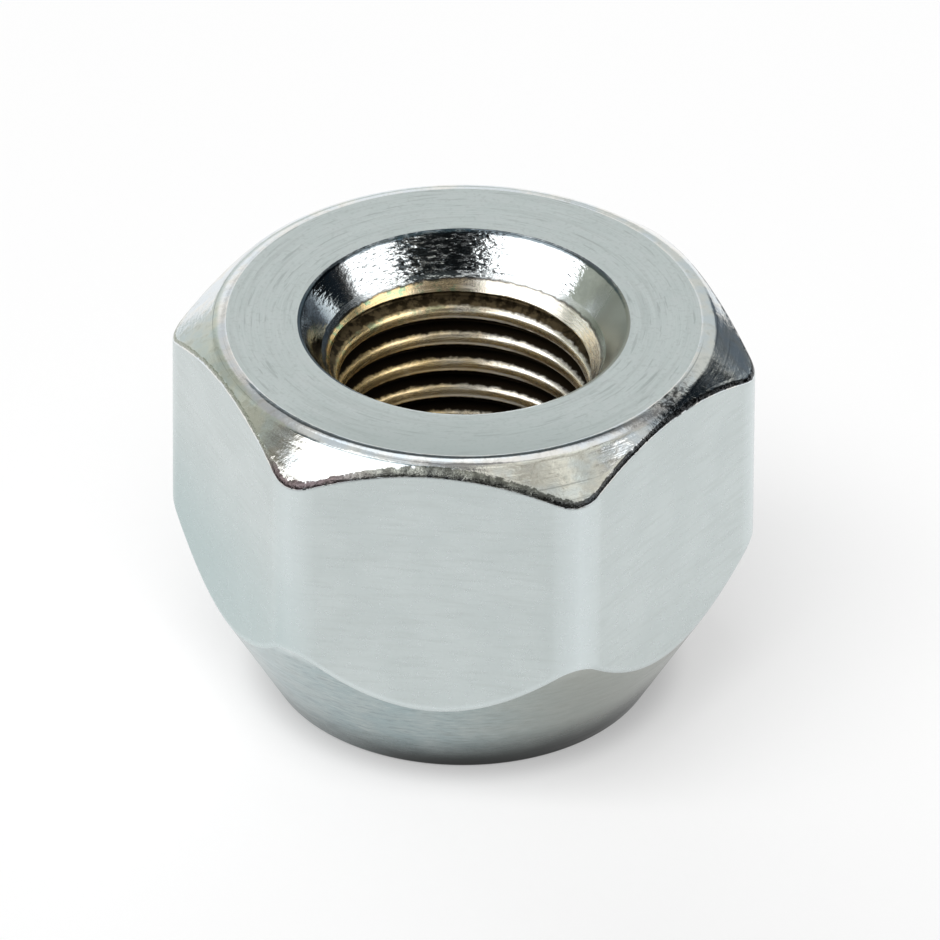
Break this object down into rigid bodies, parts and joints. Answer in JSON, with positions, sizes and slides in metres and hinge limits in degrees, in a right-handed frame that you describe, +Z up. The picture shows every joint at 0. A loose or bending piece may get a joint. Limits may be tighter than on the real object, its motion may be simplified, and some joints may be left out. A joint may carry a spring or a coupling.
{
  "type": "wheel lug nut",
  "caption": "Open-ended hexagonal wheel nut with a conical seat, a chamfered flat top face and a countersunk threaded through hole.",
  "frame": {"origin": "centre of the foot, the small end of the conical seat, on the bore's axis", "axes": "+Z up the bore from the seat end to the flat top face; two opposite corners of the hexagon lie on the X axis and two flats face along Y"},
  "size_m": [0.0232, 0.0206, 0.0162],
  "materials": {
    "plating": "satin chrome plating on the turned and forged faces, brighter on the chamfer and in the countersink, warm-tinted in the thread"
  },
  "bodies": {
    "root": {"lug_nut": "plating"}
  },
  "joints": []
}
